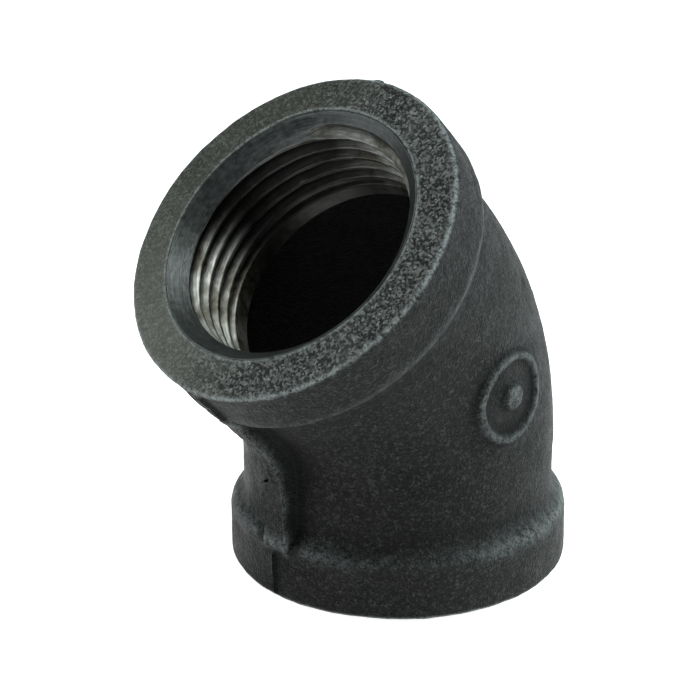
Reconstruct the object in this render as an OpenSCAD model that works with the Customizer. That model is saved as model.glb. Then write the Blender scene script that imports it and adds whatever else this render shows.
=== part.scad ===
// Malleable iron 45 degree pipe elbow, nominal size 1 inch (DN 25), class 150,
// with a right-hand internal taper pipe thread in both ends.
// Millimetres. The origin is the centre of the lower end face, +Z runs up the
// lower port, and the upper port leans towards -Y by the bend angle.
// The elbow is one casting. It is divided here into its regions, which meet face to face.

/* [Fitting] */
// Distance from each end face to the point where the two port axes cross
centre_to_end = 28.4; // [28.3:0.1:32]
// Angle between the two port axes
bend_angle = 45; // [40:1:45]
// Radius of the bend, along the middle of the waterway
bend_r = 29; // [25:0.5:29]
// Outside diameter of the barrel
body_d = 41.2; // [41:0.1:42]
// Diameter of the cored waterway
core_d = 34.4; // [34.3:0.1:35]

/* [Bands] */
// Outside diameter of the reinforcing band round each end
band_d = 45; // [44.5:0.1:46]
// Width of each band, from the end face to the middle of its sloping shoulder
band_w = 8.6; // [7:0.1:9.4]
// Rounding of the edge between the end face and the side of the band
band_edge_r = 0.9; // [0.4:0.1:1.5]
// Radius of the two curves that take the shoulder down to the barrel in a soft S
band_slope_r = 2.6; // [1.8:0.1:3]

/* [Pipe thread] */
// Distance from one turn to the next, for 11.5 turns an inch
pitch = 2.2087; // [2:0.0001:2.4]
// Diameter at the bottom of the thread's groove, at the end face
thread_root_d = 33.22; // [33:0.01:33.4]
// Diameter of the drilled hole, which the crests of the thread lie on
thread_crest_d = 29.8; // [29.7:0.01:30.2]
// How much smaller the thread gets along its length, as diameter over length
thread_taper = 0.0625; // [0.05:0.0005:0.07]
// Length of the drilled hole from the end face
thread_len = 15.2; // [14.8:0.1:15.3]
// Largest diameter of the 45 degree countersink at the mouth
mouth_d = 34.2; // [34:0.1:34.2]

/* [Throat rib] */
// Thickness of the rib that fills the throat between the bands
rib_w = 4.4; // [2:0.1:6]
// How far the rib stands beyond the side of the bands
rib_proud = 0.4; // [0.1:0.1:0.8]
// How far the rib lies to one side of the middle plane of the bend
rib_offset = -1; // [-1.5:0.1:1.5]

/* [Mould parting line] */
// Width of the ridge where the two halves of the mould met
seam_w = 1.2; // [0.6:0.1:2]
// Height of that ridge
seam_h = 0.35; // [0.2:0.05:0.5]

/* [Raised mark] */
// Outside diameter of the plain ring on the flank
mark_d = 12; // [8:0.5:14]
// Width of the ring's wall
mark_wall = 1.3; // [0.8:0.1:2]
// Diameter of the round dot inside the ring
mark_dot_d = 3.6; // [2:0.1:5]
// Height of the mark above the barrel
mark_h = 0.6; // [0.3:0.1:1]

/* [Hidden] */
body_r = body_d / 2;
core_r = core_d / 2;
band_r = band_d / 2;
rib_r = band_r + rib_proud;
// The shoulder's S turns through slope_angle and back, in two curves of slope_half each.
slope_angle = acos(1 - (band_r - body_r) / (2 * band_slope_r));
slope_half = band_slope_r * sin(slope_angle);
slope_start = band_w - slope_half;
slope_end = band_w + slope_half;
slope_steps = 8;
// The rib starts where the shoulder starts to fall.
rib_start = slope_start;
crest_r = thread_crest_d / 2;
mouth_r = mouth_d / 2;

// Each barrel is straight up to where the bend starts.
straight_len = centre_to_end - bend_r * tan(bend_angle / 2);
// The threaded lining ends in a 45 degree step out to the cored waterway.
lining_step = 1;
// Middle of the bend's centre line, which the mark is centred on
mid_bend = [0, bend_r * (cos(bend_angle / 2) - 1), straight_len + bend_r * sin(bend_angle / 2)];

// The thread's groove is a 60 degree V with a small flat at its root.
flank_slope = tan(30);
root_flat = 0.1;
// Below the crests the groove's cutter reaches this far into the empty hole.
cutter_inset = 0.08;
cutter_depth = 0.6;
cutter_step = 10;
// The groove starts in the countersink, this far from the end face and at this angle round
// the port, and ends this far short of the hole's end.
groove_start = 1.5;
groove_start_angle = 243;
cutter_stop = 0.4;
// It deepens over this many turns at its start, and fades out over this many at its end,
// as the tap leaves it.
lead_in_turns = 0.06;
runout_turns = 1.6;

overshoot = 1;
$fn = 144;

// ---- Places ----

// Takes a shape made for the lower port to the upper port, where its +Z points inwards.
module at_upper_port() {
    translate([0, -centre_to_end * sin(bend_angle), centre_to_end * (1 + cos(bend_angle))])
        rotate([bend_angle - 180, 0, 0])
            children();
}

// Sweeps a 2-D shape round the bend. The shape's origin is on the centre line,
// its x runs away from the centre of the bend and its y across the elbow.
module along_bend() {
    translate([0, -bend_r, straight_len])
        rotate([90, 0, 90])
            rotate_extrude(angle = bend_angle)
                translate([bend_r, 0])
                    children();
}

// Sweeps the same kind of shape along the whole elbow, from this distance inside one end
// face to the same distance inside the other.
module along_elbow(start) {
    translate([0, 0, start])
        linear_extrude(straight_len - start)
            mirror([1, 0])
                rotate(90)
                    children();
    along_bend() children();
    at_upper_port()
        translate([0, 0, start])
            linear_extrude(straight_len - start)
                rotate(-90)
                    children();
}

// ---- Barrel ----

// A straight barrel with its throat side towards -y and the parting ridge along its back.
module barrel_tube() {
    ridge_start = slope_end;
    ridge_root_r = (core_r + body_r) / 2;
    color("#3a3d3f") {
        difference() {
            cylinder(r = body_r, h = straight_len);
            translate([0, 0, -overshoot]) cylinder(r = core_r, h = straight_len + 2 * overshoot);
        }
        translate([-seam_w / 2, ridge_root_r, ridge_start])
            cube([seam_w, body_r + seam_h - ridge_root_r, straight_len - ridge_start]);
    }
}

module lower_barrel() {
    barrel_tube();
}

module upper_barrel() {
    at_upper_port() mirror([0, 1, 0]) barrel_tube();
}

module bend_wall() {
    color("#3a3d3f")
        along_bend()
            difference() {
                circle(body_r);
                circle(core_r);
            }
}

// ---- Bands ----

// What is cut off a square corner to round it. The corner is at the origin and the
// material lies towards -x and -y.
module corner_cut(r) {
    translate([-r, -r])
        difference() {
            square(r + overshoot);
            circle(r);
        }
}

// The shoulder's S, from the band down to the barrel, as [radius, distance from end face].
function shoulder_points() =
    let (turns = [for (i = [0:slope_steps]) slope_angle * i / slope_steps],
         crown = [for (a = turns) [band_r - band_slope_r * (1 - cos(a)),
                                   slope_start + band_slope_r * sin(a)]],
         hollow = [for (i = [slope_steps - 1:-1:0])
                   [body_r + band_slope_r * (1 - cos(turns[i])),
                    slope_end - band_slope_r * sin(turns[i])]])
    concat(crown, hollow);

// Half of a band's cross-section: x is the radius and y runs inwards from the end face.
module band_outline() {
    difference() {
        polygon(concat([[body_r, 0], [band_r, 0]], shoulder_points()));
        translate([band_r, 0]) mirror([0, 1]) corner_cut(band_edge_r);
    }
}

// The parting ridge over a band, between its rounded edge and its shoulder. The ridge is
// rooted halfway into the band.
module band_seam(direction) {
    root_r = (body_r + band_r) / 2;
    rotate([0, 0, direction])
        translate([root_r, -seam_w / 2, band_edge_r])
            cube([band_r + seam_h - root_r, seam_w, slope_start - band_edge_r]);
}

// A band with its throat side towards -y, where the end of the throat rib is let into it.
module band() {
    color("#404446")
        difference() {
            union() {
                rotate_extrude() band_outline();
                band_seam(90);
                band_seam(-90);
            }
            translate([rib_offset - rib_w / 2, -rib_r - overshoot, rib_start])
                cube([rib_w, rib_r + overshoot, band_w]);
        }
}

module lower_band() {
    band();
}

module upper_band() {
    at_upper_port() mirror([0, 1, 0]) band();
}

// ---- Pipe threads ----

// The lining's cross-section: x is the radius and y runs inwards from the end face.
module lining_outline() {
    countersink = mouth_r - crest_r;
    polygon([[mouth_r, 0],
             [core_r, 0],
             [core_r, thread_len + lining_step],
             [crest_r + lining_step, thread_len + lining_step],
             [crest_r, thread_len],
             [crest_r, countersink]]);
}

// One cross-section of the groove's cutter, at angle a along the helix.
function groove_section(a, a_end) =
    let (z = groove_start + pitch * (a - groove_start_angle) / 360,
         floor_r = crest_r - cutter_inset,
         full = thread_root_d / 2 - z * thread_taper / 2 - floor_r,
         fade = min(1, (a_end - a) / (360 * runout_turns),
                    (a - groove_start_angle) / (360 * lead_in_turns)),
         depth = max(cutter_inset / 2, full * fade),
         half = root_flat / 2,
         wide = half + depth * flank_slope,
         outline = [[floor_r + depth, -half], [floor_r + depth, half], [floor_r, wide],
                    [floor_r - cutter_depth, wide], [floor_r - cutter_depth, -wide], [floor_r, -wide]])
    [for (p = outline) [p[0] * cos(a), p[0] * sin(a), z + p[1]]];

// The helical cutter that leaves the thread.
module thread_groove() {
    a_end = groove_start_angle + 360 * (thread_len - groove_start - cutter_stop) / pitch;
    span = a_end - groove_start_angle;
    steps = ceil(span / cutter_step);
    sides = 6;
    points = [for (i = [0:steps])
              each groove_section(groove_start_angle + span * i / steps, a_end)];
    walls = [for (i = [0:steps - 1], k = [0:sides - 1])
             let (a = i * sides + k,
                  b = i * sides + (k + 1) % sides)
             each [[a, b, b + sides], [a, b + sides, a + sides]]];
    start_cap = [for (k = [1:sides - 2]) [0, k + 1, k]];
    end_first = steps * sides;
    end_cap = [for (k = [1:sides - 2]) [end_first, end_first + k, end_first + k + 1]];
    polyhedron(points, concat(walls, start_cap, end_cap));
}

module threaded_lining() {
    color("#8b8d8c")
        difference() {
            rotate_extrude() lining_outline();
            thread_groove();
        }
}

module lower_thread() {
    threaded_lining();
}

module upper_thread() {
    at_upper_port() threaded_lining();
}

// ---- Throat rib and the parting ridge over the back of the bend ----

// In these cross-sections x runs away from the centre of the bend and y across the elbow.
module rib_section() {
    difference() {
        translate([-rib_r, rib_offset - rib_w / 2]) square([rib_r - core_r, rib_w]);
        circle(body_r);
    }
}

module seam_section() {
    translate([body_r, -seam_w / 2]) square([seam_h, seam_w]);
}

module throat_rib() {
    color("#3d4042") along_elbow(rib_start) rib_section();
}

module back_seam() {
    color("#3d4042") along_bend() seam_section();
}

// ---- Raised mark on the flank ----

// Keeps a thin layer of a shape that stands on the outside of the barrel.
module raised_on_flank() {
    color("#45494b")
        difference() {
            intersection() {
                translate(mid_bend) rotate([0, 90, 0]) children();
                along_bend() circle(body_r + mark_h);
            }
            along_bend() circle(body_r);
        }
}

module mark_ring() {
    raised_on_flank()
        difference() {
            cylinder(d = mark_d, h = band_d);
            translate([0, 0, -overshoot])
                cylinder(d = mark_d - 2 * mark_wall, h = band_d + 2 * overshoot);
        }
}

module mark_dot() {
    raised_on_flank() cylinder(d = mark_dot_d, h = band_d);
}

lower_barrel();
bend_wall();
upper_barrel();
lower_band();
upper_band();
lower_thread();
upper_thread();
throat_rib();
back_seam();
mark_ring();
mark_dot();
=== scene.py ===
"""Looks of a malleable iron 45 degree pipe elbow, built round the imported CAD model.

Lengths in the shape code are millimetres and are turned into metres as a mesh is made.
The elbow's own coordinates are s, the distance along the middle of the waterway from the
lower end face, phi, the angle round it from +X towards the back of the bend, and r.
"""

import math

import bmesh
import bpy
import numpy as np
from mathutils import Matrix, Vector


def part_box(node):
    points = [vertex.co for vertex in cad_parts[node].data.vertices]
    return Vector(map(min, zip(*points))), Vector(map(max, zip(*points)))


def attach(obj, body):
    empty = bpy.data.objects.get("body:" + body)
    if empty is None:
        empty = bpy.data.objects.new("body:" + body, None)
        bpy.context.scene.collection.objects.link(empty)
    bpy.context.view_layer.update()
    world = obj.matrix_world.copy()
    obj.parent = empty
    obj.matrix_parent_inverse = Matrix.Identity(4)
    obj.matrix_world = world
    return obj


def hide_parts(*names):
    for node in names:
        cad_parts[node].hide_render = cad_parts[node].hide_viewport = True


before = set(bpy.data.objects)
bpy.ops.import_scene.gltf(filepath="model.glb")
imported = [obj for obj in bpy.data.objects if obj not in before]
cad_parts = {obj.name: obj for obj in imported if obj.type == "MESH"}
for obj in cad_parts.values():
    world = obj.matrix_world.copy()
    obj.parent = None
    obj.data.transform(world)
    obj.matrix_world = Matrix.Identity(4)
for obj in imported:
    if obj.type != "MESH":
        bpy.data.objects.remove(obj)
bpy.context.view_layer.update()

MM = 0.001


# ---- Sizes that the CAD model gives ----

def half_width(node):
    """Half of a node's size along X, in millimetres."""
    low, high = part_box(node)
    return (high[0] - low[0]) / 2 / MM


BAND_R = half_width("lower_band")
BODY_R = half_width("lower_barrel")
CORE_R = half_width("lower_thread")
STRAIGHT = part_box("lower_barrel")[1][2] / MM
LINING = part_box("lower_thread")[1][2] / MM

# Sizes that no box gives, as in the CAD model.
BAND_W = 8.6
EDGE_R = 0.9
SLOPE_R = 2.6
SLOPE_ANGLE = math.acos(1 - (BAND_R - BODY_R) / (2 * SLOPE_R))
SLOPE_HALF = SLOPE_R * math.sin(SLOPE_ANGLE)
BEND = math.radians(45)
CENTRE_TO_END = 28.4
BEND_R = (CENTRE_TO_END - STRAIGHT) / math.tan(BEND / 2)
LENGTH = 2 * STRAIGHT + BEND_R * BEND

# Thread, as in the CAD model. PHASE sets where round the port its turns lie.
PITCH = 2.2087
ROOT_R = 33.22 / 2
CREST_R = 29.8 / 2
MOUTH_R = 34.2 / 2
TAPER = 0.0625 / 2
HOLE_LEN = 15.2
PHASE = 2.2
GROOVE_START = 1.45
GROOVE_FULL = 1.57
GROOVE_STOP = 0.4
RUNOUT = 1.6
FLANK_ANGLE = math.radians(30)
ROOT_FLAT = 0.12
# The cut metal starts this far inside the end face.
FACE_GAP = 0.03

# Throat rib, parting ridge and mark.
RIB_X = -1.0
RIB_W = 4.4
RIB_R = BAND_R + 0.4
RIB_THIN = 2.4
RIB_NARROWS_FROM = 15.0
RIB_NARROWS_TO = 18.5
FILL_R = 16.0
SEAM_W = 1.2
SEAM_H = 0.35
MOULD_SLIP = 0.32
MARK_R = 6.0
MARK_WALL = 1.3
DOT_R = 1.8
MARK_H = 0.6

# The mouths' edges wander. The upper one was also cut wide on one side.
LOWER_MOUTH_SEED = 22
UPPER_MOUTH_SEED = 21
WIDE_BY = 0.45
WIDE_AT = 118
WIDE_ACROSS = 26

# How fine the cut threads' grid is.
THREAD_COLUMNS = 264
ROWS_PER_TURN = 24

# How fine the skin's grid is: points round the elbow, and gaps between rows.
COLUMNS = 334
FACE_ROWS = 0.33
BAND_ROWS = 0.36
BARREL_ROWS = 0.34
MARK_ROWS = 0.24
WATERWAY_ROWS = 2.6
# Strips round the elbow with more points: their middle and half-width in degrees, and how
# many times more. They are the rib's sides, the parting lines and the mark.
FINE_STRIPS = [(-98.5, 1.4, 4), (-93.2, 1.3, 4), (-87.0, 1.5, 5),
               (-93, 7, 0.8), (90, 2.5, 3), (0, 17, 0.9)]

# Unevenness of the cast skin, as depth, size and seed of each layer of lumps.
SKIN_LUMPS = [(0.07, 9.0, 11), (0.055, 2.4, 12), (0.035, 0.9, 13)]

# Hollows in the skin: s, degrees round the elbow, r, width and depth.
PITS = [(LENGTH - 0.4, -28.0, 22.1, 0.42, 0.42),
        (LENGTH - 0.3, -32.5, 22.0, 0.34, 0.34),
        (LENGTH, -112.0, 20.6, 0.55, 0.28),
        (LENGTH, -118.0, 19.6, 0.42, 0.22),
        (LENGTH, -127.0, 20.9, 0.60, 0.20),
        (LENGTH, 158.0, 19.2, 0.35, 0.16),
        (LENGTH, 64.0, 20.4, 0.40, 0.16),
        (0, 40.0, 19.8, 0.45, 0.25),
        (0, 200.0, 20.2, 0.40, 0.22),
        (30.0, -40.0, BODY_R, 0.45, 0.20),
        (22.0, -15.0, BODY_R, 0.40, 0.20),
        (34.0, 35.0, BODY_R, 0.50, 0.24),
        (3.5, -40.0, BAND_R, 0.40, 0.20),
        (LENGTH - 4.5, -58.0, BAND_R, 0.40, 0.22),
        (24.0, 120.0, BODY_R, 0.55, 0.24),
        (38.0, 150.0, BODY_R, 0.45, 0.22)]


# ---- Seeded noise ----

def lattice(ix, iy, iz, seed):
    """A repeatable value from -1 to 1 at each whole-number point."""
    n = ix * 73856093 ^ iy * 19349663 ^ iz * 83492791 ^ seed * 2654435761
    n = n & 0xFFFFFFFF
    n = ((n >> 13) ^ n) * 1274126177 & 0xFFFFFFFF
    n = ((n >> 15) ^ n) * 2246822519 & 0xFFFFFFFF
    return ((n >> 16) & 0xFFFF) / 32767.5 - 1


def noise(points, size, seed, octaves=1):
    """Smooth noise from about -1 to 1, with lumps of this size in millimetres."""
    total = np.zeros(points.shape[:-1])
    weight = 1.0
    weights = 0.0
    for octave in range(octaves):
        q = points / (size / 2 ** octave)
        cell = np.floor(q).astype(np.int64)
        f = q - cell
        f = f * f * f * (f * (6 * f - 15) + 10)
        value = np.zeros(points.shape[:-1])
        for corner in range(8):
            dx, dy, dz = corner & 1, corner >> 1 & 1, corner >> 2
            share = (f[..., 0] if dx else 1 - f[..., 0])
            share = share * (f[..., 1] if dy else 1 - f[..., 1])
            share = share * (f[..., 2] if dz else 1 - f[..., 2])
            value += share * lattice(cell[..., 0] + dx, cell[..., 1] + dy,
                                     cell[..., 2] + dz, seed + 31 * octave)
        total += weight * value
        weights += weight
        weight *= 0.5
    return total / weights


def step(x, low, high):
    """0 below low, 1 above high and smooth in between."""
    t = np.clip((x - low) / (high - low), 0, 1)
    return t * t * (3 - 2 * t)


def bell(x, width):
    """1 at zero, falling away smoothly on both sides within about this width."""
    return np.exp(-(x / width) ** 2)


def smooth_max(a, b, fillet):
    """The larger of two heights, with a fillet where they meet."""
    return (a + b + np.sqrt((a - b) ** 2 + fillet ** 2)) / 2


# ---- The elbow's coordinates ----

def place(s, phi, r):
    """Points in millimetres in the frame, from arrays of the elbow's coordinates."""
    turn = np.clip((s - STRAIGHT) / BEND_R, 0, BEND)
    before = np.minimum(s, STRAIGHT)
    after = np.maximum(s - LENGTH + STRAIGHT, 0)
    side = r * np.cos(phi)
    out = r * np.sin(phi)
    y = -BEND_R * (1 - np.cos(turn)) - after * np.sin(turn) + out * np.cos(turn)
    z = before + BEND_R * np.sin(turn) + after * np.cos(turn) + out * np.sin(turn)
    return np.stack([side, y, z], axis=-1)


def upper_port_matrix():
    """Takes a shape made for the lower port to the upper port, in millimetres."""
    cos, sin = math.cos(BEND), math.sin(BEND)
    return np.array([[1, 0, 0, 0],
                     [0, -cos, sin, -CENTRE_TO_END * sin],
                     [0, -sin, -cos, CENTRE_TO_END * (1 + cos)],
                     [0, 0, 0, 1]])


def mouth_wave(phi, seed):
    """How far the mouth's edge wanders from a circle."""
    ring = np.stack([3 * np.cos(phi), 3 * np.sin(phi), 0 * phi], axis=-1)
    wave = 0.10 * noise(ring, 2.0, seed) + 0.04 * noise(ring, 0.5, seed + 1)
    if seed == UPPER_MOUTH_SEED:
        from_wide = (np.degrees(phi) - WIDE_AT + 180) % 360 - 180
        wave = wave + WIDE_BY * bell(from_wide, WIDE_ACROSS)
    return wave


# ---- Meshes ----

def make_mesh(name, points, faces, attributes):
    """A smooth-shaded piece from points in millimetres, riding on the casting's body."""
    mesh = bpy.data.meshes.new(name)
    mesh.from_pydata((points * MM).tolist(), [], faces)
    for key, values in attributes.items():
        layer = mesh.attributes.new(key, "FLOAT", "POINT")
        layer.data.foreach_set("value", np.ascontiguousarray(values, dtype=np.float32))
    mesh.shade_smooth()
    mesh.update()
    piece = bpy.data.objects.new(name, mesh)
    bpy.context.scene.collection.objects.link(piece)
    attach(piece, "root")
    return piece


def ring_faces(rows, columns, close_rows):
    """Quads of a grid whose columns run right round."""
    faces = []
    for i in range(rows if close_rows else rows - 1):
        a = i * columns
        b = (i + 1) % rows * columns
        for j in range(columns):
            k = (j + 1) % columns
            faces.append((a + j, a + k, b + k, b + j))
    return faces


def arc(s0, r0, radius, a0, a1, count):
    """Points of a rounding as (s, r), without its last point."""
    angles = np.radians(np.linspace(a0, a1, count, endpoint=False))
    return [(s0 + radius * math.cos(a), r0 + radius * math.sin(a)) for a in angles]


def straight(p, q, gap):
    """Points from p up to but not including q, about this far apart."""
    count = max(1, round(math.dist(p, q) / gap))
    return [(p[0] + (q[0] - p[0]) * k / count, p[1] + (q[1] - p[1]) * k / count)
            for k in range(count)]


# ---- The casting's skin ----

def end_outline():
    """The casting's outline from the mouth of one port to the foot of its band."""
    lip = 0.25
    mouth = MOUTH_R + lip
    rows = arc(lip, mouth, lip, 270, 180, 4)
    rows += straight((0, mouth), (0, BAND_R - EDGE_R), FACE_ROWS)
    rows += arc(EDGE_R, BAND_R - EDGE_R, EDGE_R, 180, 90, 9)
    rows += straight((EDGE_R, BAND_R), (BAND_W - SLOPE_HALF, BAND_R), BAND_ROWS)
    turned = math.degrees(SLOPE_ANGLE)
    rows += arc(BAND_W - SLOPE_HALF, BAND_R - SLOPE_R, SLOPE_R, 90, 90 - turned, 8)
    rows += arc(BAND_W + SLOPE_HALF, BODY_R + SLOPE_R, SLOPE_R, 270 - turned, 270, 8)
    return rows


def skin_outline():
    """The whole closed outline: one end, the barrel, the other end, and back inside."""
    first = end_outline()
    foot = BAND_W + SLOPE_HALF
    near_mark = LENGTH / 2 - MARK_R - 1.5
    barrel = straight((foot, BODY_R), (near_mark, BODY_R), BARREL_ROWS)
    barrel += straight((near_mark, BODY_R), (LENGTH - near_mark, BODY_R), MARK_ROWS)
    barrel += straight((LENGTH - near_mark, BODY_R), (LENGTH - foot, BODY_R), BARREL_ROWS)
    barrel.append((LENGTH - foot, BODY_R))
    last = [(LENGTH - s, r) for s, r in reversed(first)]
    # The waterway's wall starts behind the cut threads, which hide its ends.
    behind = 1.5
    inside = straight((LENGTH - behind, CORE_R), (behind, CORE_R), WATERWAY_ROWS)
    inside.append((behind, CORE_R))
    return np.array(first + barrel + last + inside), len(inside)


def skin_angles(count):
    """Angles round the elbow, closer together at the rib, the ridges and the mark."""
    fine = np.linspace(-math.pi, math.pi, 14401)
    degrees = np.degrees(fine)
    density = np.ones_like(fine)
    for centre, width, extra in FINE_STRIPS:
        density += extra * bell(degrees - centre, width)
    total = np.concatenate([[0], np.cumsum((density[1:] + density[:-1]) / 2)])
    return np.interp(np.arange(count) / count * total[-1], total, fine)


def dent(points, s, degrees, r, width, depth):
    """A small hollow at a place given in the elbow's coordinates."""
    middle = place(np.array(s), np.radians(degrees), np.array(r))
    return depth * bell(np.linalg.norm(points - middle, axis=-1), width)


def throat_fill(s):
    """Radius of the rib's outer face, which rounds the throat's corner generously."""
    corner = Vector((-RIB_R, CENTRE_TO_END - RIB_R * math.tan(BEND / 2)))
    middle = corner - Vector((FILL_R, FILL_R * math.tan(BEND / 2)))
    pivot = Vector((-BEND_R, STRAIGHT))
    # By symmetry only the lower half is worked out.
    low = np.minimum(s, LENGTH - s)
    turn = np.clip((low - STRAIGHT) / BEND_R, 0, BEND / 2)
    offset = pivot - middle
    along = offset.x * np.cos(turn) + offset.y * np.sin(turn)
    inside = np.maximum(along ** 2 - offset.length_squared + FILL_R ** 2, 0)
    bent = BEND_R - (np.sqrt(inside) - along)
    rise = np.clip(low - middle.y, 0, FILL_R)
    level = -middle.x - np.sqrt(FILL_R ** 2 - rise ** 2)
    return np.where(low > STRAIGHT, bent, level)


class Skin:
    """The casting's skin as a grid: rows along the outline, columns round the elbow."""

    def __init__(self):
        outline, inside_count = skin_outline()
        self.rows = len(outline)
        self.phi = skin_angles(COLUMNS)[None, :]
        self.s = np.repeat(outline[:, :1], COLUMNS, axis=1)
        self.r = np.repeat(outline[:, 1:], COLUMNS, axis=1)
        # 1 on the outside and 0 in the waterway.
        self.outside = np.ones((self.rows, 1))
        self.outside[self.rows - inside_count:] = 0
        self.end_gap = np.minimum(self.s, LENGTH - self.s)
        self.upper = self.s > LENGTH / 2
        self.across = BAND_R * np.cos(self.phi)
        # 1 on the throat's half of the elbow and 0 on its back.
        self.throat = np.where(self.phi < 0, 1, 0)
        line = np.stack([self.s, 0 * self.s, 0 * self.s], axis=-1)
        self.wander = 0.20 * noise(line, 3.0, 5, 2)
        self.ragged = noise(line, 1.5, 6, 2)
        rib_end = BAND_W - SLOPE_HALF
        self.spans_throat = step(self.end_gap, rib_end - 0.4, rib_end + 0.5)

    def add_rib(self):
        """The rib that fills the throat: wide over the lower port and narrow over the
        upper one, with drafted sides and a filled corner."""
        narrowing = step(self.s, RIB_NARROWS_FROM, RIB_NARROWS_TO)
        left = RIB_X - RIB_W / 2 + (RIB_W - RIB_THIN) * narrowing + self.wander
        right = RIB_X + RIB_W / 2 + 0.3 * self.wander
        self.inset = np.minimum(self.across - left, right - self.across)
        top = throat_fill(self.s) + 0.10 * self.ragged - 0.10
        # Beside the rib its height falls below the barrel, where it has no effect.
        below = BODY_R - 1
        rib = below + (top - below) * step(self.inset, -0.42, 0.22)
        rib = rib * self.spans_throat * self.throat
        self.r = np.where(self.outside > 0, smooth_max(self.r, rib, 0.25), self.r)

    def add_parting_line(self):
        """The ridge down the back, the flash over both bands on the throat side, and the
        step there where the mould's halves didn't quite meet."""
        self.on_side = step(self.end_gap, 0.2, 1.2) * self.outside
        ridge = step(SEAM_W / 2 + 0.15 - np.abs(self.across), -0.1, 0.35) * (1 - self.throat)
        self.line_x = RIB_X - 0.2 + self.wander + np.where(self.upper, 0.7, 0)
        self.flash_half = np.where(self.upper, RIB_THIN / 2, 0.35)
        flash = step(self.flash_half - np.abs(self.across - self.line_x), -0.12, 0.08)
        flash = flash * self.throat * (1 - self.spans_throat)
        height = SEAM_H * (1 + 0.4 * self.ragged)
        self.r = self.r + self.on_side * height * (ridge + 1.2 * flash)
        slipped = step(self.line_x - self.across, -0.15, 0.15)
        slipped = slipped * bell(np.degrees(self.phi) + 93, 24) * self.throat
        self.r = self.r - self.on_side * MOULD_SLIP * slipped * (1 - self.spans_throat)

    def add_mark(self):
        """The plain raised mark: a ring and a dot on the flank at the middle of the bend."""
        along = (self.s - LENGTH / 2) * (BEND_R + self.r * np.sin(self.phi)) / BEND_R
        self.from_mark = np.hypot(along, BODY_R * np.sin(self.phi))
        self.flank = np.where(np.cos(self.phi) > 0, self.outside, 0)
        self.in_ring = MARK_WALL / 2 - np.abs(self.from_mark - MARK_R + MARK_WALL / 2)
        ring = step(self.in_ring, -0.12, 0.22)
        dot = step(DOT_R - self.from_mark, -0.12, 0.3)
        self.raised = ring + dot
        self.r = self.r + MARK_H * 0.95 * self.raised * self.flank

    def rough_points(self):
        """The grid's points, uneven inwards from the CAD model's surface."""
        angles = self.phi + 0 * self.s
        points = place(self.s, angles, self.r)
        round_step = np.roll(points, -1, axis=1) - np.roll(points, 1, axis=1)
        along_step = np.roll(points, -1, axis=0) - np.roll(points, 1, axis=0)
        normal = np.cross(round_step, along_step)
        normal /= np.maximum(np.linalg.norm(normal, axis=-1, keepdims=True), 1e-9)
        sunk = np.zeros(self.s.shape)
        for depth, size, seed in SKIN_LUMPS:
            sunk += depth * (1 + noise(points, size, seed, 2))
        for pit in PITS:
            sunk += dent(points, *pit)
        # The machined end faces are flatter next to the mouth.
        self.face = bell(self.end_gap, 0.35) * self.outside
        off_mouth = step(self.r, MOUTH_R + 0.2, MOUTH_R + 1.4)
        sunk = sunk * self.outside * np.where(self.face > 0.5, 0.35 + 0.65 * off_mouth, 1)
        points = points - normal * sunk[..., None]

        wave = np.where(self.upper, mouth_wave(self.phi, UPPER_MOUTH_SEED),
                        mouth_wave(self.phi, LOWER_MOUTH_SEED))
        at_mouth = (1 - step(self.r, MOUTH_R + 0.3, MOUTH_R + 1.5)) * self.face
        outwards = place(self.s, angles, self.r + 1) - place(self.s, angles, self.r)
        return points + outwards * (wave * at_mouth)[..., None]

    def wear_and_highlight(self):
        """Where the coat is gone at edges, the rib, the mark and round the mouths, and a
        painted highlight on the bands' shoulders.
        """
        crease = bell(self.end_gap - 0.25, 0.32) * bell(self.r - BAND_R + 0.25, 0.42)
        # Painted highlight on the bands' shoulders, weak on the upper band and faded round -42
        # degrees.
        highlight_gap = 0.85 * bell(np.degrees(self.phi) + 42, 30)
        highlight_strength = np.where(self.upper, 0.2, 0.5 * (1 - highlight_gap))
        shoulder = highlight_strength * bell(self.end_gap - BAND_W + 0.6, 1.0) * self.outside
        lip = 1.3 * bell(self.r - MOUTH_R - 0.12, 0.24) * self.face
        rib_edge = 0.4 * bell(self.inset - 0.2, 0.3) * self.spans_throat * self.throat
        mark_edge = 0.3 * np.clip(self.raised, 0, 1) * self.flank
        total = crease + shoulder + lip + rib_edge + mark_edge
        return np.clip(total, 0, 1) * self.outside

    def painted_shade(self):
        """Painted shade at the feet of raised parts, beside the rib, inside the mark and in the
        waterway.
        """
        foot = 0.35 * bell(self.end_gap - BAND_W - SLOPE_HALF - 0.4, 1.0) * self.outside
        seam_foot = bell(self.across - self.line_x - self.flash_half - 0.12, 0.22)
        seam_foot = seam_foot * self.throat * (1 - self.spans_throat) * self.on_side
        # A painted shadow in the throat beside the rib, under the upper band.
        hollow = step(self.across, RIB_X + 2.4, RIB_X + 3.0)
        hollow = hollow * (1 - step(self.across, RIB_X + 3.4, RIB_X + 8.5))
        hollow = 0.8 * hollow * self.throat * self.outside
        hollow = hollow * step(self.s, STRAIGHT - 4, STRAIGHT + 3)
        hollow = hollow * (1 - step(self.s, LENGTH - 12, LENGTH - 6))
        rib_foot = step(self.inset, -2.6, -0.7) * (1 - step(self.inset, -0.08, 0.14))
        rib_foot = rib_foot * self.spans_throat * self.throat * self.outside
        off_ring = -self.in_ring
        mark_foot = step(off_ring, 0.0, 0.15) * (1 - step(off_ring, 0.2, 0.8))
        mark_foot = mark_foot * np.where(self.from_mark > DOT_R + 0.6, 0.8, 0)
        in_mark = 0.5 * (1 - step(self.from_mark, MARK_R - 1.2, MARK_R - 0.8))
        in_mark = in_mark * (1 - np.clip(self.raised, 0, 1))
        total = foot + rib_foot + seam_foot + hollow + (mark_foot + in_mark) * self.flank
        return np.clip(total + (1 - self.outside), 0, 1)


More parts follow.
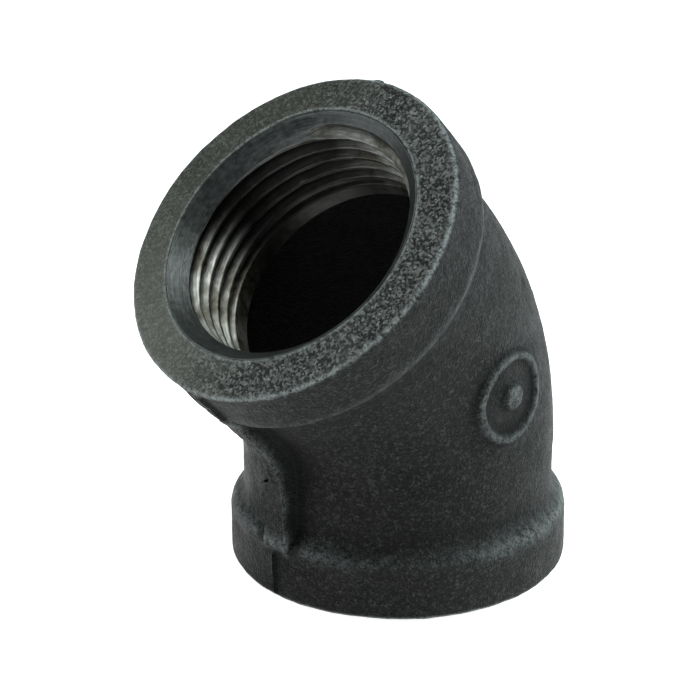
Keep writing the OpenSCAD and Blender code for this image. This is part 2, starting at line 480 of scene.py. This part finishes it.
def build_casting():
    skin = Skin()
    skin.add_rib()
    skin.add_parting_line()
    skin.add_mark()
    points = skin.rough_points()
    piece = make_mesh("casting", points.reshape(-1, 3),
                      ring_faces(skin.rows, COLUMNS, True),
                      {"face": (skin.face + 0 * skin.r).ravel(),
                       "wear_and_highlight": (skin.wear_and_highlight() + 0 * skin.r).ravel(),
                       # Painted shade for the hollows and the waterway.
                       "painted_shade": (skin.painted_shade() + 0 * skin.r).ravel()})
    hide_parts("lower_barrel", "bend_wall", "upper_barrel", "lower_band",
                "upper_band", "throat_rib", "back_seam", "mark_ring", "mark_dot")
    return piece


# ---- The cut threads ----

def thread_radius(z, angle):
    """The drilled and tapped hole at depth z: its radius, how deep the groove is there, and
    how far inside the countersink's cone the point lies."""
    turns = (z + PHASE) / PITCH - angle / (2 * math.pi)
    centre = (np.round(turns) + angle / (2 * math.pi)) * PITCH - PHASE
    off = np.abs(z - centre)
    fade = np.clip((HOLE_LEN - GROOVE_STOP - z) / (PITCH * RUNOUT), 0, 1)
    fade = fade * step(centre, GROOVE_START, GROOVE_FULL)
    # Where the groove fades out, its root ends up behind the hole's wall.
    hidden = CREST_R - 0.3
    root = hidden + (ROOT_R - z * TAPER - hidden) * fade
    groove = root - np.maximum(off - ROOT_FLAT / 2, 0) / math.tan(FLANK_ANGLE)
    cone = MOUTH_R - FACE_GAP - z
    hole = np.maximum(CREST_R, cone)
    hole = np.maximum(hole, CREST_R + (z - HOLE_LEN))
    radius = smooth_max(hole, groove, 0.07) - 0.02
    return radius, groove - hole, cone - np.maximum(CREST_R, groove)


def helical_faces(rows, columns, per_turn):
    """Quads of a grid whose rows climb one turn as they go round the port, so that each
    row's end meets the row one turn further up."""
    faces = []
    for i in range(rows - 1):
        for j in range(columns - 1):
            a = i * columns + j
            faces.append((a, a + 1, a + columns + 1, a + columns))
        if i + 1 + per_turn < rows:
            last = i * columns + columns - 1
            up = (i + per_turn) * columns
            faces.append((last, up, up + columns, last + columns))
    return faces


def lining_faces(rows, columns):
    """Quads that close the lining: its inner end, its back wall and its mouth."""
    faces = []
    top = (rows - 1) * columns
    back = rows * columns
    front = back + columns
    for j in range(columns):
        k = (j + 1) % columns
        faces.append((top + j, top + k, back + k, back + j))
        faces.append((back + j, back + k, front + k, front + j))
        faces.append((front + j, front + k, k, j))
    return faces


def build_thread(name, node, matrix, turn_sign, wave_seed):
    """One port's cut metal. turn_sign is -1 where the port's own angle runs the other way
    round from the elbow's."""
    angle = np.arange(THREAD_COLUMNS) / THREAD_COLUMNS * 2 * math.pi
    rows = ROWS_PER_TURN * (math.ceil(LINING / PITCH) + 1)
    climb = np.arange(-ROWS_PER_TURN, rows)[:, None] / ROWS_PER_TURN
    z = PITCH * (climb + angle[None, :] / (2 * math.pi))
    z = np.clip(z, FACE_GAP, LINING)
    a = angle[None, :] + 0 * z
    r, cut, sink = thread_radius(z, a)
    even = np.stack([r * np.cos(a), r * np.sin(a), z], axis=-1)
    r = r + mouth_wave(turn_sign * a, wave_seed) * (1 - step(z, 0.2, 1.4))
    r = r - 0.02 * noise(even, 1.1, 41, 2) * step(z, 0.3, 1.2)
    # The tap tore pieces off the crests.
    torn = np.clip(noise(even, 1.5, 43, 2) - 0.25, 0, 1)
    r = r + 0.22 * torn * bell(cut, 0.3) * step(z, 0.8, 2.0)
    inner = np.stack([r * np.cos(a), r * np.sin(a), z], axis=-1)

    back_r = CORE_R - 0.02
    back_z = np.array([LINING, FACE_GAP])[:, None] + 0 * angle[None, :]
    back_a = angle[None, :] + 0 * back_z
    back = np.stack([back_r * np.cos(back_a), back_r * np.sin(back_a), back_z], axis=-1)
    points = np.concatenate([inner.reshape(-1, 3), back.reshape(-1, 3)])
    points = points @ matrix[:3, :3].T + matrix[:3, 3]
    faces = helical_faces(inner.shape[0], THREAD_COLUMNS, ROWS_PER_TURN)
    faces += lining_faces(inner.shape[0], THREAD_COLUMNS)

    # Painted shade darkens the upper part of the port, between these angles round the elbow.
    port_angle = np.degrees(turn_sign * a + 0.15 * noise(even, 4.0, 47)) % 360
    painted_port_shade = step(port_angle, 75, 115) * (1 - step(port_angle, 168, 196)) * step(z, 1.6, 3.0)
    on_back = np.zeros(2 * THREAD_COLUMNS)
    root = np.clip(cut / 1.3, 0, 1)
    cone = step(sink, -0.03, 0.06)
    piece = make_mesh(name, points, faces,
                      {"root": np.concatenate([root.ravel(), on_back]),
                       "sink": np.concatenate([cone.ravel(), on_back + 1]),
                       "painted_port_shade": np.concatenate([painted_port_shade.ravel(), on_back]),
                       "depth": np.concatenate([z.ravel(), on_back])})
    weld_and_orient(piece)
    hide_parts(node)
    return piece


def weld_and_orient(piece):
    """Joins points that fell together at the ends of the helical grid."""
    work = bmesh.new()
    work.from_mesh(piece.data)
    bmesh.ops.remove_doubles(work, verts=work.verts, dist=0.0005 * MM)
    bmesh.ops.dissolve_degenerate(work, dist=0.0002 * MM, edges=work.edges)
    bmesh.ops.recalc_face_normals(work, faces=work.faces)
    work.to_mesh(piece.data)
    work.free()
    piece.data.shade_smooth()


# ---- Materials ----

class Nodes:
    """Short ways to add and join the nodes of one material."""

    def __init__(self, name):
        self.material = bpy.data.materials.new(name)
        self.material.use_nodes = True
        self.tree = self.material.node_tree
        self.shader = self.tree.nodes["Principled BSDF"]
        self.where = self.add("ShaderNodeTexCoord").outputs["Object"]

    def add(self, kind, **settings):
        node = self.tree.nodes.new(kind)
        for key, value in settings.items():
            setattr(node, key, value)
        return node

    def join(self, source, target):
        self.tree.links.new(source, target)

    def put(self, socket, value):
        """A number or colour is set, and another node's output is linked."""
        if isinstance(value, bpy.types.NodeSocket):
            self.join(value, socket)
        else:
            socket.default_value = value

    def noise(self, size, detail=2.0, roughness=0.5, vector=None, distortion=0.0):
        """Noise with lumps of about this size in millimetres."""
        node = self.add("ShaderNodeTexNoise")
        node.inputs["Scale"].default_value = 1 / (size * MM)
        node.inputs["Detail"].default_value = detail
        node.inputs["Roughness"].default_value = roughness
        node.inputs["Distortion"].default_value = distortion
        self.join(vector or self.where, node.inputs["Vector"])
        return node.outputs["Fac"]

    def cells(self, size):
        """Packed grains of this size: how far from each one's middle, and a tone for each."""
        node = self.add("ShaderNodeTexVoronoi", feature="F1")
        node.inputs["Scale"].default_value = 1 / (size * MM)
        self.join(self.where, node.inputs["Vector"])
        tone = self.add("ShaderNodeSeparateColor")
        self.join(node.outputs["Color"], tone.inputs[0])
        return node.outputs["Distance"], tone.outputs[0]

    def attribute(self, name):
        node = self.add("ShaderNodeAttribute", attribute_name=name)
        return node.outputs["Fac"]

    def math(self, operation, a, b=0.0, clamp=False):
        node = self.add("ShaderNodeMath", operation=operation, use_clamp=clamp)
        self.put(node.inputs[0], a)
        self.put(node.inputs[1], b)
        return node.outputs[0]

    def span(self, value, low, high, to_low=0.0, to_high=1.0):
        """Takes low..high to another range, and stops at its ends."""
        node = self.add("ShaderNodeMapRange", clamp=True)
        self.put(node.inputs["Value"], value)
        for key, number in (("From Min", low), ("From Max", high),
                            ("To Min", to_low), ("To Max", to_high)):
            node.inputs[key].default_value = number
        return node.outputs["Result"]

    def mix(self, share, a, b):
        node = self.add("ShaderNodeMix", data_type="RGBA")
        self.put(node.inputs["Factor"], share)
        self.put(node.inputs[6], a)
        self.put(node.inputs[7], b)
        return node.outputs[2]

    def bump(self, height, depth, strength=1.0, under=None):
        """Bump of this depth in millimetres, on top of another bump."""
        node = self.add("ShaderNodeBump")
        node.inputs["Strength"].default_value = strength
        node.inputs["Distance"].default_value = depth * MM
        self.join(height, node.inputs["Height"])
        if under is not None:
            self.join(under, node.inputs["Normal"])
        return node.outputs["Normal"]


def grey(level, blue=0.0):
    """A dark grey with the coat's faint green, a little bluer or browner."""
    return (level * (0.97 - blue), level, level * (0.95 + blue), 1)


def cast_skin_material():
    """Black malleable iron as cast: sand grain under a thin dark coat."""
    n = Nodes("black_cast_iron")
    face = n.attribute("face")
    wear_and_highlight = n.attribute("wear_and_highlight")
    painted_shade = n.attribute("painted_shade")
    bed, tone = n.cells(0.27)
    grain = n.noise(0.28, 2.0, 0.6)
    fine = n.noise(0.14, 1.0, 0.5)
    lumps = n.noise(0.9, 3.0, 0.6)
    patches = n.noise(6.0, 3.0, 0.6, distortion=0.6)
    broad = n.noise(16.0, 2.0, 0.5)

    mixed = n.math("ADD", n.math("MULTIPLY", tone, 0.45), n.math("MULTIPLY", grain, 0.40))
    mixed = n.math("ADD", mixed, n.math("MULTIPLY", lumps, 0.15))
    sparkle = n.span(mixed, 0.42, 0.82)
    dark = n.mix(n.span(patches, 0.35, 0.65), grey(0.0025, 0.0), grey(0.0045, 0.02))
    dark = n.mix(n.span(broad, 0.45, 0.65), dark, (0.0045, 0.0045, 0.0035, 1))
    light = n.mix(n.span(lumps, 0.35, 0.7), grey(0.022, 0.0), grey(0.070, 0.02))
    side = n.mix(n.span(mixed, 0.50, 0.86), dark, light)

    face_dark = n.mix(n.span(patches, 0.4, 0.62), grey(0.012, 0.0), grey(0.040, 0.01))
    face_light = n.mix(n.span(lumps, 0.3, 0.7), grey(0.14, 0.01), grey(0.40, 0.03))
    end = n.mix(sparkle, face_dark, face_light)
    # Towards -X the end faces are smoother and a little browner, with a painted sheen that
    # makes them paler low down.
    axes = n.add("ShaderNodeSeparateXYZ")
    n.join(n.where, axes.inputs[0])
    calm = n.span(n.math("ADD", axes.outputs["X"], n.math("MULTIPLY", broad, 0.010)),
                  0.010, -0.004, 0.05, 0.62)
    pale = n.span(axes.outputs["Z"], 0.052, 0.038)
    smooth = n.mix(pale, (0.066, 0.068, 0.053, 1), (0.185, 0.187, 0.160, 1))
    end = n.mix(calm, end, smooth)
    colour = n.mix(face, side, end)
    rub_and_highlight = n.math("MULTIPLY", wear_and_highlight, n.span(n.math("ADD", lumps, grain), 0.75, 1.15), True)
    # Paler where the coat is gone, with a painted highlight on the bands' shoulders.
    colour = n.mix(rub_and_highlight, colour, grey(0.30, 0.05))
    # Painted shade darkens the colour at the feet of raised parts, in the hollows and in the
    # waterway.
    colour = n.mix(n.math("MULTIPLY", painted_shade, 0.85), colour, grey(0.003))
    n.put(n.shader.inputs["Base Color"], colour)

    rough = n.span(n.math("ADD", grain, patches), 0.8, 1.25, 0.40, 0.66)
    n.put(n.shader.inputs["Roughness"], n.math("SUBTRACT", rough, n.math("MULTIPLY", rub_and_highlight, 0.1)))
    n.shader.inputs["Metallic"].default_value = 0.0
    n.shader.inputs["Specular IOR Level"].default_value = 0.15

    pits = n.span(n.cells(1.9)[0], 0.05, 0.30)
    normal = n.bump(lumps, 0.30, 0.9)
    normal = n.bump(pits, 0.08, 0.7, normal)
    normal = n.bump(grain, 0.20, 1.0, normal)
    normal = n.bump(n.math("SUBTRACT", 1.0, bed), 0.08, 0.8, normal)
    normal = n.bump(fine, 0.06, 0.7, normal)
    n.join(normal, n.shader.inputs["Normal"])
    return n.material


def cut_thread_material():
    """Bare iron where the tool cut it: turning marks, oily patches, a dull cone and painted
    shade.
    """
    n = Nodes("cut_iron")
    root = n.attribute("root")
    sink = n.attribute("sink")
    depth = n.attribute("depth")
    lumps = n.noise(0.9, 3.0, 0.6)
    patches = n.noise(5.0, 3.0, 0.6)
    rings = n.add("ShaderNodeCombineXYZ")
    n.join(depth, rings.inputs["X"])
    n.join(n.math("MULTIPLY", n.noise(9.0, 1.0), 1.5), rings.inputs["Y"])
    lines = n.add("ShaderNodeTexNoise")
    lines.inputs["Scale"].default_value = 9.0
    lines.inputs["Detail"].default_value = 2.0
    n.join(rings.outputs[0], lines.inputs["Vector"])
    marks = lines.outputs["Fac"]

    bright = n.mix(n.span(marks, 0.35, 0.65), (0.19, 0.19, 0.178, 1), (0.44, 0.44, 0.41, 1))
    oily = n.mix(n.span(lumps, 0.35, 0.65), (0.040, 0.036, 0.026, 1), (0.13, 0.122, 0.095, 1))
    flank = n.mix(n.span(patches, 0.42, 0.60), bright, oily)
    # Painted shade on the port's upper walls, nearly black.
    flank = n.mix(n.math("MULTIPLY", n.attribute("painted_port_shade"), 0.88), flank, (0.014, 0.014, 0.012, 1))
    # Painted shade deep in the thread roots.
    flank = n.mix(n.span(root, 0.42, 0.90), flank, (0.005, 0.005, 0.0045, 1))
    streaks = n.span(n.math("ADD", marks, lumps), 0.7, 1.3)
    cone = n.mix(streaks, grey(0.035, 0.03), grey(0.105, 0.05))
    colour = n.mix(sink, flank, cone)
    n.put(n.shader.inputs["Base Color"], colour)
    rough = n.span(n.math("ADD", lumps, root), 0.3, 1.4, 0.30, 0.62)
    n.put(n.shader.inputs["Roughness"], rough)
    n.shader.inputs["Metallic"].default_value = 0.65

    normal = n.bump(marks, 0.02, 0.8)
    normal = n.bump(lumps, 0.05, 0.6, normal)
    n.join(normal, n.shader.inputs["Normal"])
    return n.material


# ---- Camera, floor and light ----

def make_camera():
    """The photograph's viewing angle and distance."""
    azimuth, elevation, roll = (math.radians(a) for a in (42.625, 20.846, -0.493))
    distance = 10.146 * BAND_R * MM
    aim = Vector((0, -0.35, 1.15)) * BAND_R * MM
    back = Vector((math.sin(azimuth) * math.cos(elevation),
                   -math.cos(azimuth) * math.cos(elevation), math.sin(elevation)))
    level = Vector((math.cos(azimuth), math.sin(azimuth), 0))
    up = back.cross(level)
    right = math.cos(roll) * level + math.sin(roll) * up
    up = math.cos(roll) * up - math.sin(roll) * level
    aim = aim + (-0.0409 * right + 0.1709 * up) * BAND_R * MM
    data = bpy.data.cameras.new("camera")
    data.sensor_width = 36
    data.lens = 92.0
    data.clip_start = 0.005
    data.clip_end = 20
    camera = bpy.data.objects.new("camera", data)
    turned = Matrix((right, up, back)).transposed().to_4x4()
    turned.translation = aim + distance * back
    camera.matrix_world = turned
    bpy.context.scene.collection.objects.link(camera)
    bpy.context.scene.camera = camera


def make_floor():
    """A plain pale floor that shines a little itself, so that it stays white."""
    size = 3.0
    mesh = bpy.data.meshes.new("floor")
    corners = [(-size, -size, 0), (size, -size, 0), (size, size, 0), (-size, size, 0)]
    mesh.from_pydata(corners, [], [(0, 1, 2, 3)])
    floor = bpy.data.objects.new("floor", mesh)
    bpy.context.scene.collection.objects.link(floor)
    n = Nodes("pale_floor")
    n.shader.inputs["Base Color"].default_value = (0.70, 0.70, 0.70, 1)
    n.shader.inputs["Roughness"].default_value = 0.9
    n.shader.inputs["Emission Color"].default_value = (1, 1, 1, 1)
    n.shader.inputs["Emission Strength"].default_value = 0.92
    mesh.materials.append(n.material)


def soft_light(name, position, size, power, colour):
    """A round area light at this place in metres, turned towards the elbow."""
    data = bpy.data.lights.new(name, "AREA")
    data.shape = "DISK"
    data.size = size
    data.energy = power
    data.color = colour
    light = bpy.data.objects.new(name, data)
    light.location = position
    aim = Vector((0, -0.008, 0.03)) - Vector(position)
    light.rotation_euler = aim.to_track_quat("-Z", "Y").to_euler()
    bpy.context.scene.collection.objects.link(light)


def make_light():
    """Three soft lights in a dim room, which the camera sees as white."""
    world = bpy.data.worlds.new("white_studio")
    world.use_nodes = True
    tree = world.node_tree
    room = tree.nodes["Background"]
    room.inputs["Color"].default_value = (0.90, 1, 0.99, 1)
    room.inputs["Strength"].default_value = 0.10
    seen = tree.nodes.new("ShaderNodeBackground")
    seen.inputs["Color"].default_value = (1, 1, 1, 1)
    path = tree.nodes.new("ShaderNodeLightPath")
    choose = tree.nodes.new("ShaderNodeMixShader")
    tree.links.new(path.outputs["Is Camera Ray"], choose.inputs[0])
    tree.links.new(room.outputs[0], choose.inputs[1])
    tree.links.new(seen.outputs[0], choose.inputs[2])
    tree.links.new(choose.outputs[0], tree.nodes["World Output"].inputs["Surface"])
    bpy.context.scene.world = world
    soft_light("overhead", (0.05, -0.02, 0.60), 0.40, 2.0, (0.93, 1, 0.98))
    soft_light("left", (-0.45, -0.42, 0.38), 0.25, 1.0, (0.90, 1, 0.99))
    soft_light("right", (0.38, 0.46, 0.34), 0.25, 4.5, (0.86, 0.99, 1))
    bpy.context.scene.view_settings.view_transform = "Standard"


casting = build_casting()
casting.data.materials.append(cast_skin_material())
thread_finish = cut_thread_material()
lower_thread = build_thread("lower_cut_thread", "lower_thread",
                            np.eye(4), 1, LOWER_MOUTH_SEED)
upper_thread = build_thread("upper_cut_thread", "upper_thread",
                            upper_port_matrix(), -1, UPPER_MOUTH_SEED)
for piece in (lower_thread, upper_thread):
    piece.data.materials.append(thread_finish)

make_camera()
make_floor()
make_light()
